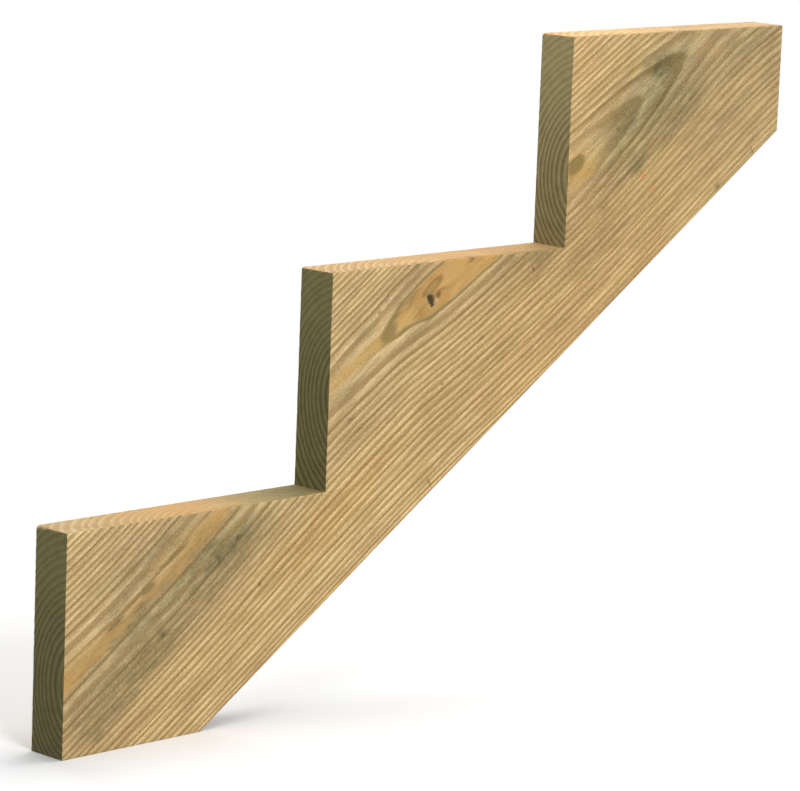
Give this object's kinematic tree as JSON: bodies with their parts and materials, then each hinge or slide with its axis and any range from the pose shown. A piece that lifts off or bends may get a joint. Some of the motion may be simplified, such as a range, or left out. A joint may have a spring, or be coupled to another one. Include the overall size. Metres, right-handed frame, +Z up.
{
  "type": "stair stringer",
  "caption": "Sawn wooden stair stringer: a sloping board cut level for treads and plumb for risers, with a level foot cut and a plumb cut for the header.",
  "frame": {"origin": "toe of the stringer: foot of the first riser, on the floor, at the board's mid-thickness", "axes": "+X along the run towards the header, +Y across the board's thickness, +Z up"},
  "size_m": [0.8382, 0.0382, 0.5525],
  "materials": {
    "treated_pine": "planed and sawn pressure-treated pine, bare"
  },
  "bodies": {
    "root": {"stringer": "treated_pine"}
  },
  "joints": []
}
